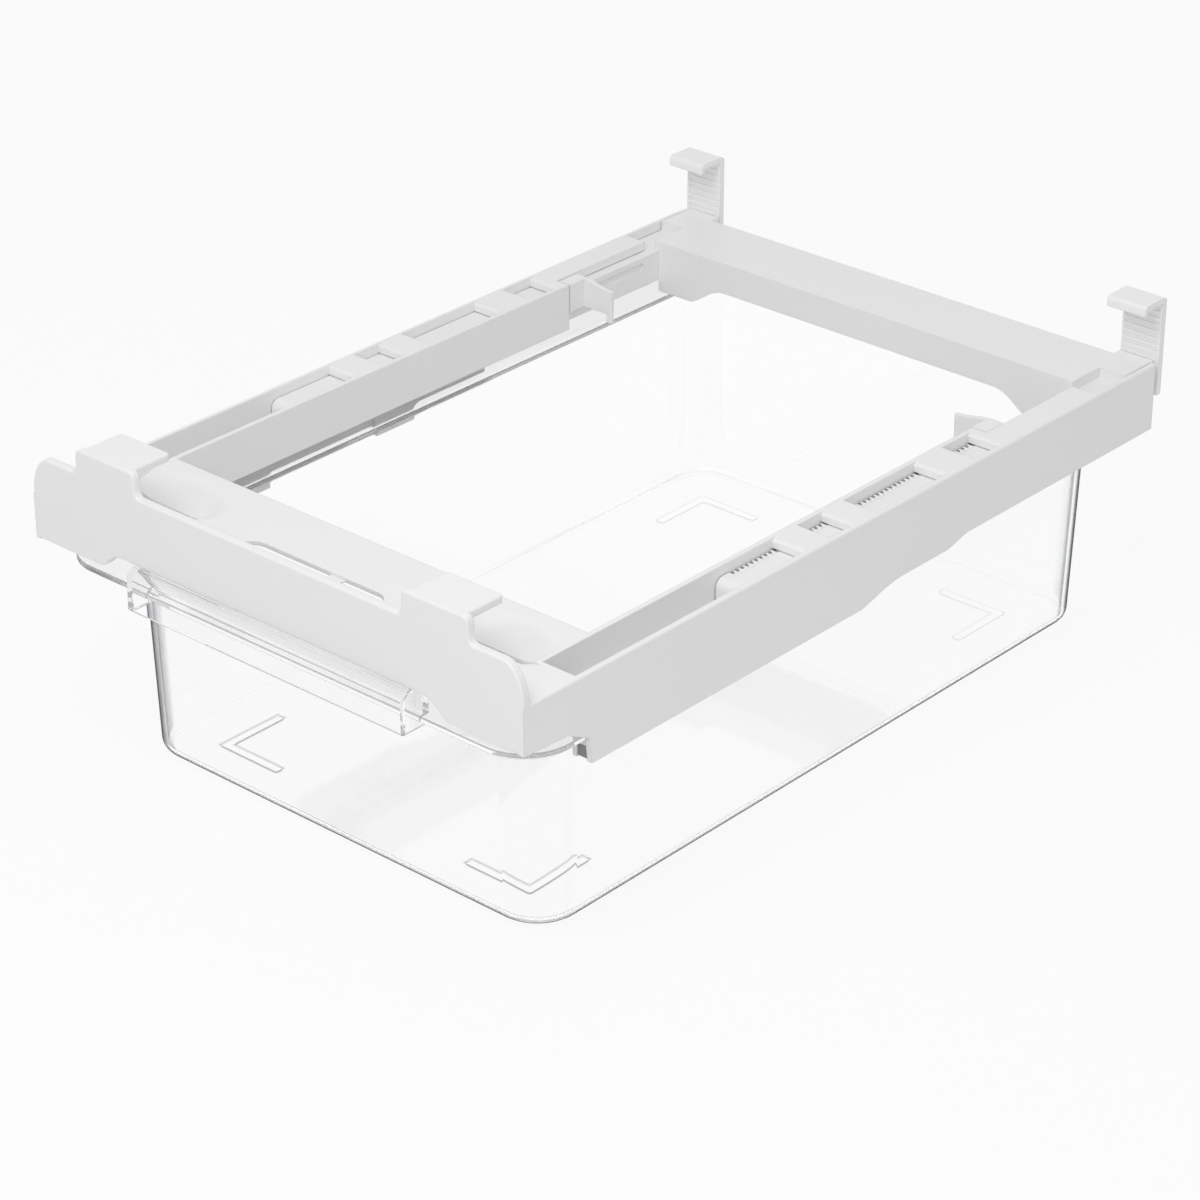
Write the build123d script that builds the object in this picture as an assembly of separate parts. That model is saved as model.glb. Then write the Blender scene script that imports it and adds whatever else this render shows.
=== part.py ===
"""Fridge drawer organizer: a telescopic white frame that clips under a shelf, with a clear drawer.

All sizes are millimetres. The pieces are drawn in the frame's own system: X across with 0 in the
middle, Y from the front panel's face (0) to the back, Z up from the front panel's lower edge (0).
They are moved to the object's origin, the middle of its box on the surface it stands on, when
they are written. A size that starts at a wall is written as its distance from that wall.
"""
from build123d import *
import os

# ---- Overall sizes ------------------------------------------------------------------------
half_width = 103.0          # outer face of each side wall
frame_length = 310.0        # front panel's face to the side walls' rear end
rail_top = 15.8             # flat top of the rails and crossbars
drawer_height = 80.0        # front panel's lower edge above the surface the drawer stands on

# ---- Clearances ---------------------------------------------------------------------------
sliding_gap = 0.3           # between pieces that slide on each other
flange_gap = 0.4            # beside the drawer's flange
tip_gap = 0.3               # between a latch and what it faces
pass_gap = 1.0              # above the drawer's flange, under what it slides past

# ---- Walls --------------------------------------------------------------------------------
wall = 1.8                  # side walls, inner walls, skirts and floors of the frame
skin = 1.4                  # top plates of both crossbars
panel_wall = 2.6            # front panel
edge_round = 0.7            # rounding of the outer edges that a hand meets

# ---- Front panel --------------------------------------------------------------------------
panel_top = 28.7            # upper edge of the front panel
shoulder_width = 8.0        # width of the rounded upper corners
cutout_rise = 5.4           # how far the drawer's cut-out reaches up
cutout_inset = 28.0         # from the side wall to where the cut-out meets the lower edge
cutout_curve = 11.5         # width of the cut-out's curved side

# ---- Front hooks --------------------------------------------------------------------------
hook_rise = 8.3             # top of the hooks above the panel's upper edge
hook_plate = 2.4            # thickness of the hook's top plate
hook_reach = 17.4           # depth of the hook from the panel's face
hook_inset = 23.0           # from the side wall to the hook's outer side
hook_width = 22.0           # width of its level edge
hook_slope = 4.4            # width of the curved shoulder on each side of a hook
hook_corner = 1.5           # rounding of the hook plate's rear corners

# ---- Front crossbar -----------------------------------------------------------------------
crossbar_depth = 45.2       # rear face of the front crossbar's skirt
slot_far = 22.8             # far edge of the middle slot behind the panel
hook_slot_far = 27.0        # far edge of the slots under the hooks
centre_slot_half = 30.0     # half length of the middle slot
centre_slot_round = 6.0     # rounding of its far corners
hook_slot_margin = 4.5      # how much wider than the hook its slot is, at each end
hook_slot_round = 2.5       # rounding of that slot's far corners
scoop_depth = 5.0           # how deep the skin dips around a hook slot
scoop_rim = 0.05            # height over the skin at which the dip runs out
scoop_margin = 8.5          # how far the dip reaches past the slot's ends
scoop_half_y = 15.0         # half width of the dip
scoop_flat = 5.0            # half width of its level middle
skirt_low = 4.0             # lower edge of the skirt at the crossbar's rear
rib_inner = 4.2             # small key on the middle slot's far edge
rib_width = 6.0
rib_depth = 2.0

# ---- Side rails of the front frame --------------------------------------------------------
rail_width = 16.2           # outer face of the side wall to the drawer side of the inner wall
rail_floor = -0.9           # underside of the rail's floor
rail_start = 23.7           # where the open channel starts behind the corner plate
inner_wall_end = 230.0      # rear end of the inner wall and floor
pad_spans = [(126.8, 138.8), (150.4, 161.5), (197.0, 211.6)]
last_pad_start = 225.5      # the long last pad
last_pad_gap = 3.3          # from its rear end to the rear crossbar
pad_bevel = 1.0             # bevel on each pad's front edge
last_pad_width = 10.3       # width of the last pad behind the inner wall's end

# ---- Lower edge of the side walls, as (Y, Z) ----------------------------------------------
notch_slope = 18.5          # where the edge starts to slope down
notch_front = 28.7          # where the wall steps down behind the drawer's flange
notch_lead = 1.0            # length of that step's slope
wall_low = -14.3            # lowest edge of the side wall
wall_mid = -10.3            # edge behind the first rise
low_end = 154.0             # rear end of the lowest part
first_rise = 21.0           # length of the first rise
mid_length = 21.0           # length of the edge between the rises
second_rise = 13.0

# ---- Drawer -------------------------------------------------------------------------------
flange_top = -5.6
flange_plate = 2.0
flange_front = 4.5
flange_rear_inset = 2.5     # from the side walls' rear end to the flange's rear edge
flange_corner = 17.0
rim_side = 11.3             # flange's width beside the tub
rim_front = 17.0            # and in front of it
rim_rear = 4.0              # and behind it
body_draft = 2.5            # how far each side leans in down to the bottom
body_corner = 18.0          # upright corner rounding
body_edge = 4.0             # rounding around the bottom
drawer_wall = 1.8
foot_rise = 0.8             # embossed feet under the bottom
foot_width = 3.2
foot_arm = 23.0
foot_round = 1.2            # rounding of a foot's upright edges
foot_side = 23.7            # from the tub's side to a foot's corner
foot_front = 20.5           # from the tub's front to a foot's corner
foot_rear = 24.5            # from the tub's rear to a foot's corner
handle_inset = 5.0          # from the cut-out's straight end to the handle lip's end
handle_reach = 3.0          # how far it stands in front of the panel's face
handle_gap = 0.4            # under the panel's cut-out
handle_low = -9.0
handle_depth = 11.0         # front face to rear face of the lip
handle_round = 4.0

# ---- Ledges that carry the drawer's flange ------------------------------------------------
ledge_width = 5.6           # from the side wall's inner face
ledge_plate = 1.5
ledge_spans = [(28.7, 128.0, 92.0, -14.3), (142.0, 196.0, 160.0, -13.4)]
ledge_rise = 12.0           # length of the curve at the end of each deep lip

# ---- Rear frame ---------------------------------------------------------------------------
rear_inset = 2.2            # from the side walls' rear end to the rear crossbar's rear face
rear_depth = 27.6           # depth of the rear crossbar
block_depth = 12.4          # depth of its corner blocks
rear_skirt = 4.4            # lower edge of its front skirt in the middle
rear_skirt_low = -3.0       # lower edge near the arms
skirt_bend = 45.0           # from the side wall to where that edge starts to drop
skirt_drop = 16.0           # width of the drop
arm_length = 180.2          # from the rear crossbar's front face to the arm's front end
arm_lower = 3.4             # arm's top under the rail's top
arm_wall = 1.8
arm_round = 3.0             # rounding of the arm's front end
tooth_pitch = 2.2           # rack along the arm's inner edge
tooth_depth = 0.9
tooth_width = 2.6
tooth_slope = 1.76          # length of a tooth's slope, the rest of the pitch is its step
rack_setback = 6.0          # from the arm's front end to its first tooth
rack_length = 128.0
groove_drop = 1.2           # groove's upper edge under the arm's top
groove_height = 2.6
groove_length = 36.0
groove_setback = 8.2        # from the groove's rear end to the crossbar
groove_depth = 0.8
groove_round = 1.25         # rounding of its ends

# ---- Rear clips and their guides ----------------------------------------------------------
clip_inset = 0.2            # from the side wall's outer face to the clip's side
clip_width = 15.3
clip_rise = 22.8            # clip's top above the rail's top
clip_low = 3.5
clip_wall = 2.2
clip_gap = 2.0              # from the side walls' rear end to the clip
clip_reach = 12.2           # depth of the top lip from the clip's rear face
clip_lip = 2.0              # thickness of the top lip
clip_tip = 3.6              # height of its turned-down tip
clip_tip_wall = 1.4
clip_round = 1.5
rib_pitch = 2.4             # ratchet grooves on the clip's front face
rib_groove = 0.9
rib_groove_depth = 0.4
rib_margin = 1.0            # plain edge beside the grooves
key_neck = 6.0              # width of the clip's guide key at its neck
key_head = 10.0             # and at its head
key_head_depth = 1.4
key_length = 5.6
guide_roof = 1.0            # top of the guide, over the key

# ---- Length latches -----------------------------------------------------------------------
latch_gap = 0.4             # behind the inner wall's end
latch_length = 9.0          # along the rail
latch_reach = 12.8          # from the inner wall's face to the tab's end
latch_setback = 7.0         # from the latch's front end to the tab
latch_round = 0.8           # rounding of the tab's free edges
latch_wall = 2.0
latch_plate = 1.8
latch_pivot_r = 1.2
latch_drop = 1.9            # tab's top under the rail's top
latch_blade = 10.3          # tab's lower edge under the rail's top
latch_finger = 13.4         # lower end of its finger under the rail's top
pawl_inset = 0.5            # from the arm's inner face to the pawl
pawl_width = 1.6

# ---- Worked out from the sizes above ------------------------------------------------------
wall_inner = half_width - wall                       # inner face of the side wall
rail_inner = half_width - rail_width                 # drawer side of the inner wall
channel_inner = rail_inner + wall                    # channel side of the inner wall
floor_top = rail_floor + wall
cutout_foot = half_width - cutout_inset
cutout_half = cutout_foot - cutout_curve             # half width of the cut-out's straight part
hook_top = panel_top + hook_rise
hook_outer = half_width - hook_inset
hook_inner = hook_outer - hook_width
hook_slot_inner = hook_inner - hook_slot_margin
hook_slot_outer = hook_outer + hook_slot_margin
pad_step = half_width - last_pad_width               # inner edge of the last pad
rear_back = frame_length - rear_inset                # rear face of the rear crossbar
rear_front = rear_back - rear_depth
rear_block = rear_back - block_depth
arm_start = rear_front - arm_length
arm_top = rail_top - arm_lower
arm_low = floor_top + sliding_gap
arm_inner = channel_inner + sliding_gap
arm_outer = wall_inner - sliding_gap
flange_half = wall_inner - flange_gap
flange_low = flange_top - flange_plate
flange_rear = frame_length - flange_rear_inset
ledge_inner = wall_inner - ledge_width
ledge_top = flange_low - sliding_gap
body_half = flange_half - rim_side                   # half width of the tub under its flange
body_front = flange_front + rim_front
body_rear = flange_rear - rim_rear
body_low = -drawer_height + foot_rise                # underside of the drawer's bottom
handle_half = cutout_half - handle_inset
handle_top = cutout_rise - handle_gap
handle_rear = handle_depth - handle_reach
clip_outer = half_width - clip_inset
clip_inner = clip_outer - clip_width
clip_middle = (clip_inner + clip_outer) / 2
clip_top = rail_top + clip_rise
clip_front = frame_length + clip_gap                 # front face of the clip's strap
clip_rear = clip_front + clip_wall
guide_rear = clip_front - sliding_gap
guide_low = flange_top + pass_gap                    # lower end of the clip guides
latch_front = inner_wall_end + latch_gap
latch_rear = latch_front + latch_length
mid_start = low_end + first_rise
mid_end = mid_start + mid_length
high_start = mid_end + second_rise
mid_depth = (clip_rear - handle_reach) / 2           # middle of the object, front to back


def block(x0, x1, y0, y1, z0, z1):
    """A box between two corners."""
    return Pos((x0 + x1) / 2, (y0 + y1) / 2, (z0 + z1) / 2) * Box(x1 - x0, y1 - y0, z1 - z0)


def both(shape):
    """A piece on the right side together with its mirror image on the left."""
    return shape + mirror(shape, about=Plane.YZ)


def along_y(outline, y0, y1):
    """A flat outline drawn in X and Z, made solid from y0 to y1."""
    face = Pos(0, y0, 0) * make_face(Plane.XZ * outline)
    return extrude(face, amount=y1 - y0, dir=(0, 1, 0))


def along_x(outline, x0, x1):
    """A flat outline drawn in Y and Z, made solid from x0 to x1."""
    face = Pos(x0, 0, 0) * make_face(Plane.YZ * outline)
    return extrude(face, amount=x1 - x0, dir=(1, 0, 0))


def along_z(outline, z0, z1):
    """A flat outline drawn in X and Y, made solid from z0 to z1."""
    return extrude(Pos(0, 0, z0) * make_face(outline), amount=z1 - z0)


# ---- Front frame --------------------------------------------------------------------------
def front_panel():
    """The front panel with its drawer cut-out, rounded shoulders and the two raised hooks."""
    shoulder = half_width - shoulder_width
    half = Curve() + [
        Line((0, cutout_rise), (cutout_half, cutout_rise)),
        Spline((cutout_half, cutout_rise), (cutout_foot, 0), tangents=[(1, 0), (1, 0)]),
        Line((cutout_foot, 0), (half_width, 0)),
        Line((half_width, 0), (half_width, rail_top)),
        EllipticalCenterArc((shoulder, rail_top), shoulder_width, panel_top - rail_top, arc_size=90),
        Line((shoulder, panel_top), (hook_outer + hook_slope, panel_top)),
        Spline((hook_outer + hook_slope, panel_top), (hook_outer, hook_top),
               tangents=[(-1, 0), (-1, 0)]),
        Line((hook_outer, hook_top), (hook_inner, hook_top)),
        Spline((hook_inner, hook_top), (hook_inner - hook_slope, panel_top),
               tangents=[(-1, 0), (-1, 0)]),
        Line((hook_inner - hook_slope, panel_top), (0, panel_top)),
        Line((0, panel_top), (0, cutout_rise)),
    ]
    panel = both(along_y(half, 0, panel_wall))
    return fillet(panel.edges().group_by(Axis.Y)[0], edge_round)


def hook():
    """The level plate of a hook, which lies on the shelf."""
    plate = block(hook_inner, hook_outer, 0, hook_reach, hook_top - hook_plate, hook_top)
    plate = fillet(plate.edges().filter_by(Axis.Z).group_by(Axis.Y)[-1], hook_corner)
    return fillet(plate.edges().group_by(Axis.Z)[-1], edge_round)


def slot(x0, x1, far, corner):
    """The cutter of a slot behind the panel, rounded at its far corners."""
    cutter = block(x0, x1, panel_wall, far, floor_top, panel_top)
    return fillet(cutter.edges().filter_by(Axis.Z).group_by(Axis.Y)[-1], corner)


def scoop(drop):
    """The bell that dips the skin around a hook slot, lowered by drop."""
    half = (hook_slot_outer - hook_slot_inner) / 2 + scoop_margin
    rim = Curve() + [
        Line((0, -scoop_depth), (scoop_flat, -scoop_depth)),
        Spline((scoop_flat, -scoop_depth), (scoop_half_y, scoop_rim), tangents=[(1, 0), (1, 0)]),
        Line((scoop_half_y, scoop_rim), (scoop_half_y, skin * 2)),
        Line((scoop_half_y, skin * 2), (0, skin * 2)),
        Line((0, skin * 2), (0, -scoop_depth)),
    ]
    bell = revolve(make_face(Plane.XZ * rim), Axis.Z)
    middle = (hook_slot_inner + hook_slot_outer) / 2
    return Pos(middle, hook_slot_far, rail_top - drop) * scale(bell, by=(half / scoop_half_y, 1, 1))


def front_crossbar():
    """The top plate behind the panel, its slots, its dips and the skirt at its rear edge."""
    plate = block(-wall_inner, wall_inner, panel_wall, rail_start, rail_top - skin, rail_top)
    plate += block(-channel_inner, channel_inner, panel_wall, crossbar_depth,
                   rail_top - skin, rail_top)
    under = block(-channel_inner, channel_inner, panel_wall, crossbar_depth,
                  floor_top, rail_top - skin / 2)
    plate += both(under & scoop(skin))
    plate -= both(scoop(0))
    plate += block(-channel_inner, channel_inner, crossbar_depth - wall, crossbar_depth,
                   skirt_low, rail_top)
    plate -= both(slot(hook_slot_inner, hook_slot_outer, hook_slot_far, hook_slot_round))
    plate -= slot(-centre_slot_half, centre_slot_half, slot_far, centre_slot_round)
    plate += block(rib_inner, rib_inner + rib_width, slot_far - rib_depth, slot_far + wall,
                   rail_top - skin, rail_top - pad_bevel)
    return plate


def side_wall():
    """The tall outer wall of a rail, with the stepped lower edge that clears the drawer."""
    outline = Curve() + [
        Line((0, rail_top), (0, 0)),
        Line((0, 0), (notch_slope, rail_floor)),
        Line((notch_slope, rail_floor), (notch_front - notch_lead, flange_top)),
        Line((notch_front - notch_lead, flange_top), (notch_front, wall_low)),
        Line((notch_front, wall_low), (low_end, wall_low)),
        Spline((low_end, wall_low), (mid_start, wall_mid), tangents=[(1, 0.2), (1, 0)]),
        Line((mid_start, wall_mid), (mid_end, wall_mid)),
        Spline((mid_end, wall_mid), (high_start, ledge_top), tangents=[(1, 0), (1, 0)]),
        Line((high_start, ledge_top), (frame_length, ledge_top)),
        Line((frame_length, ledge_top), (frame_length, rail_top)),
        Line((frame_length, rail_top), (0, rail_top)),
    ]
    side = along_x(outline, wall_inner, half_width)
    outer = side.edges().group_by(Axis.X)[-1]
    return fillet(outer.filter_by(Axis.Y).sort_by(Axis.Z)[-1:], edge_round)


def ledge(start, end, lip_end, lip_low):
    """A ledge for the drawer's flange, with a deep lip that curves up towards its end."""
    under = ledge_top - ledge_plate
    shelf = block(ledge_inner, wall_inner, start, end, under, ledge_top)
    lip = Curve() + [
        Line((start, ledge_top), (start, lip_low)),
        Line((start, lip_low), (lip_end, lip_low)),
        Spline((lip_end, lip_low), (lip_end + ledge_rise, under), tangents=[(0, 1), (1, 0)]),
        Line((lip_end + ledge_rise, under), (lip_end + ledge_rise, ledge_top)),
        Line((lip_end + ledge_rise, ledge_top), (start, ledge_top)),
    ]
    return shelf + along_x(lip, ledge_inner, ledge_inner + ledge_plate)


def pads():
    """The bridges across a rail that keep the rear frame's arm down."""
    low = arm_top + sliding_gap
    group = []
    for start, end in pad_spans + [(last_pad_start, rear_front - last_pad_gap)]:
        pad = block(rail_inner, wall_inner, start, end, low, rail_top)
        front = pad.edges().filter_by(Axis.X).group_by(Axis.Y)[0].sort_by(Axis.Z)[-1]
        group.append(chamfer(front, pad_bevel))
    behind = block(0, pad_step, inner_wall_end, frame_length, 0, rail_top + 1)
    return Part() + group - behind


def rail():
    """One side of the front frame: the two walls, the floor, the pads and the ledges."""
    parts = side_wall()
    parts += block(rail_inner, channel_inner, rail_start - wall, inner_wall_end,
                   rail_floor, rail_top)
    parts += block(rail_inner, wall_inner, rail_start - wall, inner_wall_end,
                   rail_floor, floor_top)
    parts += block(rail_inner, wall_inner, rail_start - wall, rail_start, rail_floor, rail_top)
    parts += pads()
    for start, end, lip_end, lip_low in ledge_spans:
        parts += ledge(start, end, lip_end, lip_low)
    return parts


def front_frame():
    """The front moulding: panel, hooks, crossbar and both rails in one piece."""
    return front_panel() + front_crossbar() + both(hook()) + both(rail())


# ---- Rear frame ---------------------------------------------------------------------------
def arm():
    """A sliding arm: an inverted trough with a rack on its upper inner edge."""
    rear = rear_block + wall
    bar = block(arm_inner, arm_outer, arm_start, rear, arm_low, arm_top)
    front = bar.edges().filter_by(Axis.X).group_by(Axis.Y)[0].sort_by(Axis.Z)[-1]
    bar = fillet(front, arm_round)
    bar -= block(arm_inner + arm_wall, arm_outer - arm_wall, arm_start + arm_wall, rear_front,
                 arm_low - 1, arm_top - arm_wall)
    rack_start = arm_start + rack_setback
    teeth = int(rack_length / tooth_pitch)
    points = [(rack_start, arm_top + 1), (rack_start, arm_top)]
    for i in range(teeth):
        tooth = rack_start + i * tooth_pitch
        points.append((tooth + tooth_slope, arm_top - tooth_depth))
        points.append((tooth + tooth_pitch, arm_top))
    points.append((rack_start + teeth * tooth_pitch, arm_top + 1))
    bar -= along_x(Polyline(*points, close=True), arm_inner - 1, arm_inner + tooth_width)
    return bar - groove()


def groove():
    """The long round-ended groove in the arm's inner side."""
    high = arm_top - tooth_depth - groove_drop
    rear = rear_front - groove_setback
    cutter = block(arm_inner - 1, arm_inner + groove_depth, rear - groove_length, rear,
                   high - groove_height, high)
    return fillet(cutter.edges().filter_by(Axis.X), groove_round)


def clip_guide():
    """The upright T-shaped guide on the rear crossbar, in which a clip slides."""
    housing = block(clip_inner, arm_outer, rear_back - wall, guide_rear, guide_low, rail_top)
    neck = key_neck / 2 + sliding_gap
    head = key_head / 2 + sliding_gap
    head_rear = rear_back + key_head_depth + 2 * sliding_gap
    roof = rail_top - guide_roof
    housing -= block(clip_middle - neck, clip_middle + neck, head_rear - 1, guide_rear + 1,
                     guide_low - 1, roof)
    return housing - block(clip_middle - head, clip_middle + head, rear_back, head_rear,
                           guide_low - 1, roof)


def rear_skirt_plate():
    """The front face of the rear crossbar, deeper towards the arms."""
    bend = half_width - skirt_bend
    half = Curve() + [
        Line((0, rail_top), (0, rear_skirt)),
        Line((0, rear_skirt), (bend, rear_skirt)),
        Spline((bend, rear_skirt), (bend + skirt_drop, rear_skirt_low),
               tangents=[(1, 0), (1, -0.3)]),
        Line((bend + skirt_drop, rear_skirt_low), (arm_inner, rear_skirt_low)),
        Line((arm_inner, rear_skirt_low), (arm_inner, rail_top)),
        Line((arm_inner, rail_top), (0, rail_top)),
    ]
    return both(along_y(half, rear_front, rear_front + wall))


def rear_frame():
    """The rear moulding: crossbar, two sliding arms, corner blocks and clip guides."""
    bar = block(-arm_inner - wall, arm_inner + wall, rear_front, rear_back,
                rail_top - skin, rail_top)
    bar += rear_skirt_plate()
    bar += block(-arm_outer, arm_outer, rear_back - wall, rear_back, rail_floor, rail_top)
    side = block(arm_inner, arm_inner + wall, rear_front, rear_back, arm_low, rail_top)
    side += block(arm_inner, arm_outer, rear_block, rear_back, arm_low, rail_top)
    return bar + both(side + arm() + clip_guide())


# ---- Rear clip ----------------------------------------------------------------------------
def rear_clip():
    """A rear hook: a flat strap with ratchet grooves, a lip over the shelf and a guide key."""
    strap = block(clip_inner, clip_outer, clip_front, clip_rear, clip_low, clip_top)
    lip = block(clip_inner, clip_outer, clip_rear - clip_reach, clip_rear,
                clip_top - clip_lip, clip_top)
    tip = block(clip_inner, clip_outer, clip_rear - clip_reach,
                clip_rear - clip_reach + clip_tip_wall, clip_top - clip_tip, clip_top)
    clip = strap + lip + tip
    ends = clip.edges().filter_by(Axis.X).group_by(Axis.Z)[-1]
    clip = fillet(ends, clip_round)
    count = int((clip_top - clip_lip - rail_top) / rib_pitch)
    for i in range(count):
        z = rail_top + (i + 0.5) * rib_pitch
        clip -= block(clip_inner + rib_margin, clip_outer - rib_margin, clip_front - 1,
                      clip_front + rib_groove_depth, z, z + rib_groove)
    head_front = rear_back + sliding_gap
    head_rear = head_front + key_head_depth
    key = block(clip_middle - key_neck / 2, clip_middle + key_neck / 2,
                head_front, clip_front, clip_low, clip_low + key_length)
    key += block(clip_middle - key_head / 2, clip_middle + key_head / 2,
                 head_front, head_rear, clip_low, clip_low + key_length)
    return clip + key


# ---- Length latch -------------------------------------------------------------------------
def length_latch():
    """The finger tab at the end of a rail's inner wall, with its pawl over the arm's rack."""
    pivot = pad_step - tip_gap - latch_pivot_r
    outer = arm_inner - latch_gap
    tip = rail_inner - latch_reach
    front = latch_front + latch_setback
    high = rail_top - latch_drop
    bead = Pos(pivot, (latch_front + latch_rear) / 2, rail_top - latch_pivot_r) * Rot(90, 0, 0) \
        * Cylinder(latch_pivot_r, latch_length)
    tab = block(outer - latch_wall, pivot, latch_front, latch_rear,
                rail_top - latch_plate, rail_top)
    tab += block(outer - latch_wall, outer, latch_front, latch_rear,
                 rail_top - latch_blade, rail_top)
    side = Curve() + [
        Line((outer, rail_top), (outer, rail_top - latch_blade)),
        Line((outer, rail_top - latch_blade), (tip + latch_wall, rail_top - latch_blade)),
        Line((tip + latch_wall, rail_top - latch_blade), (tip + latch_wall, rail_top - latch_finger)),
        Line((tip + latch_wall, rail_top - latch_finger), (tip, rail_top - latch_finger)),
        Line((tip, rail_top - latch_finger), (tip, high)),
        Spline((tip, high), (outer, rail_top), tangents=[(1, 0), (1, 0)]),
    ]
    blade = along_y(side, front, latch_rear)
    tip_edges = blade.edges().filter_by(Axis.Z).group_by(Axis.X)[0]
    tab += fillet(tip_edges, latch_round)
    pawl = arm_inner + pawl_inset
    tab += block(pawl, pawl + pawl_width, latch_front + tip_gap, latch_rear - tip_gap,
                 arm_top + tip_gap, rail_top - latch_plate)
    return tab + bead


# ---- Drawer -------------------------------------------------------------------------------
def tub(inset, low):
    """The tub's tapered solid, smaller by inset on every side, down to the given height."""
    depth = flange_top - body_low
    lean = body_draft * (flange_top - low) / depth
    middle = (body_front + body_rear) / 2
    length = body_rear - body_front - 2 * inset
    width = 2 * (body_half - inset)
    corner = body_corner - inset
    top = RectangleRounded(width, length, corner)
    bottom = RectangleRounded(width - 2 * lean, length - 2 * lean, corner - lean)
    solid = loft([Pos(0, middle, low) * bottom, Pos(0, middle, flange_top) * top])
    return fillet(solid.edges().group_by(Axis.Z)[0], body_edge - inset)


def foot(x_side, y_corner, y_side):
    """An L-shaped foot under the bottom, its arms pointing inwards."""
    half = foot_width / 2
    low, high = -drawer_height, body_low + foot_rise
    corner = body_half - foot_side
    x0 = corner * x_side
    x_end = (corner - foot_arm) * x_side
    y_end = y_corner + foot_arm * y_side
    across = block(min(x0, x_end) - half, max(x0, x_end) + half,
                   y_corner - half, y_corner + half, low, high)
    along = block(x0 - half, x0 + half, min(y_corner, y_end) - half, max(y_corner, y_end) + half,
                  low, high)
    leg = across + along
    return fillet(leg.edges().filter_by(Axis.Z), foot_round)


def handle():
    """The pull lip in front of the tub, open underneath for the fingers."""
    outer = block(-handle_half, handle_half, -handle_reach, handle_rear, flange_top, handle_top)
    outer = fillet(outer.edges().filter_by(Axis.X).group_by(Axis.Y)[0].sort_by(Axis.Z)[-1:],
                   handle_round)
    outer += block(-handle_half, handle_half, -handle_reach, -handle_reach + drawer_wall,
                   handle_low, flange_top)
    for side in (-1, 1):
        end = handle_half - drawer_wall / 2
        outer += block(side * end - drawer_wall / 2, side * end + drawer_wall / 2,
                       -handle_reach, flange_front + drawer_wall, handle_low, flange_top)
    return outer


def drawer():
    """The clear drawer: tapered tub, sliding flange, handle lip and feet in one moulding."""
    middle = (flange_front + flange_rear) / 2
    flange = RectangleRounded(2 * flange_half, flange_rear - flange_front, flange_corner)
    body = extrude(Pos(0, middle, flange_low) * flange, amount=flange_plate)
    body += tub(0, body_low) + handle()
    body -= tub(drawer_wall, body_low + drawer_wall)
    body -= block(-handle_half + drawer_wall, handle_half - drawer_wall,
                  -handle_reach + drawer_wall, handle_rear - drawer_wall,
                  handle_low - 1, handle_top - drawer_wall)
    for x_side in (-1, 1):
        body += foot(x_side, body_front + foot_front, 1)
        body += foot(x_side, body_rear - foot_rear, -1)
    return body


def main():
    """Builds every piece and writes it, moved to the object's own origin."""
    pieces = {
        "front_frame": front_frame(),
        "rear_frame": rear_frame(),
        "drawer": drawer(),
        "right_rear_clip": rear_clip(),
        "left_rear_clip": mirror(rear_clip(), about=Plane.YZ),
        "right_length_latch": length_latch(),
        "left_length_latch": mirror(length_latch(), about=Plane.YZ),
    }
    os.makedirs("parts", exist_ok=True)
    for name, piece in pieces.items():
        export_step(Pos(0, -mid_depth, drawer_height) * piece, f"parts/{name}.step")


main()
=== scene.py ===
"""Studio picture of a fridge drawer organizer: a white clip-on frame and a clear drawer."""

import logging
import math
from dataclasses import dataclass
from enum import Enum

import bmesh
import bpy
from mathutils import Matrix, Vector


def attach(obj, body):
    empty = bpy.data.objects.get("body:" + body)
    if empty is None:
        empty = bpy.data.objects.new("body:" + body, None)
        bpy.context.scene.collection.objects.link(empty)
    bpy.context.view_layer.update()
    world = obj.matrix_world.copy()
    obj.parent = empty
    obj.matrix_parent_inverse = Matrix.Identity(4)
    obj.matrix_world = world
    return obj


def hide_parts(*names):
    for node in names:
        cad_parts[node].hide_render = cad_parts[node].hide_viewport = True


MM = 0.001
SAME_POINT = 0.001 * MM
EDGE_STEPS = 4
SHARP_ANGLE = math.radians(60)
LOG = logging.getLogger("organizer")

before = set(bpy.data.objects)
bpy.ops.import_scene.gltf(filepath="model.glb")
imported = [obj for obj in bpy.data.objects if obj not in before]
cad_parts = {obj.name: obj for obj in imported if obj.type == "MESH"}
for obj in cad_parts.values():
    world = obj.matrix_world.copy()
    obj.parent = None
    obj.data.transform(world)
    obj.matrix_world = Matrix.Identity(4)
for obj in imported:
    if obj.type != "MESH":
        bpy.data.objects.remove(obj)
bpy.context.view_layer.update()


class Side(Enum):
    """The two sides of the organizer, seen from the front."""

    LEFT = "left"
    RIGHT = "right"

    @property
    def sign(self) -> int:
        """Returns 1 on the right and -1 on the left."""
        return 1 if self is Side.RIGHT else -1


class Run(Enum):
    """The way a straight solid runs from its outline."""

    ACROSS = "across"
    UPWARDS = "upwards"


class Joining(Enum):
    """What a second solid does to a first, in Blender's own names."""

    ADD = "UNION"
    CUT = "DIFFERENCE"


# ---- Finishes -----------------------------------------------------------------------------
Colour = tuple[float, float, float]


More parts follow.
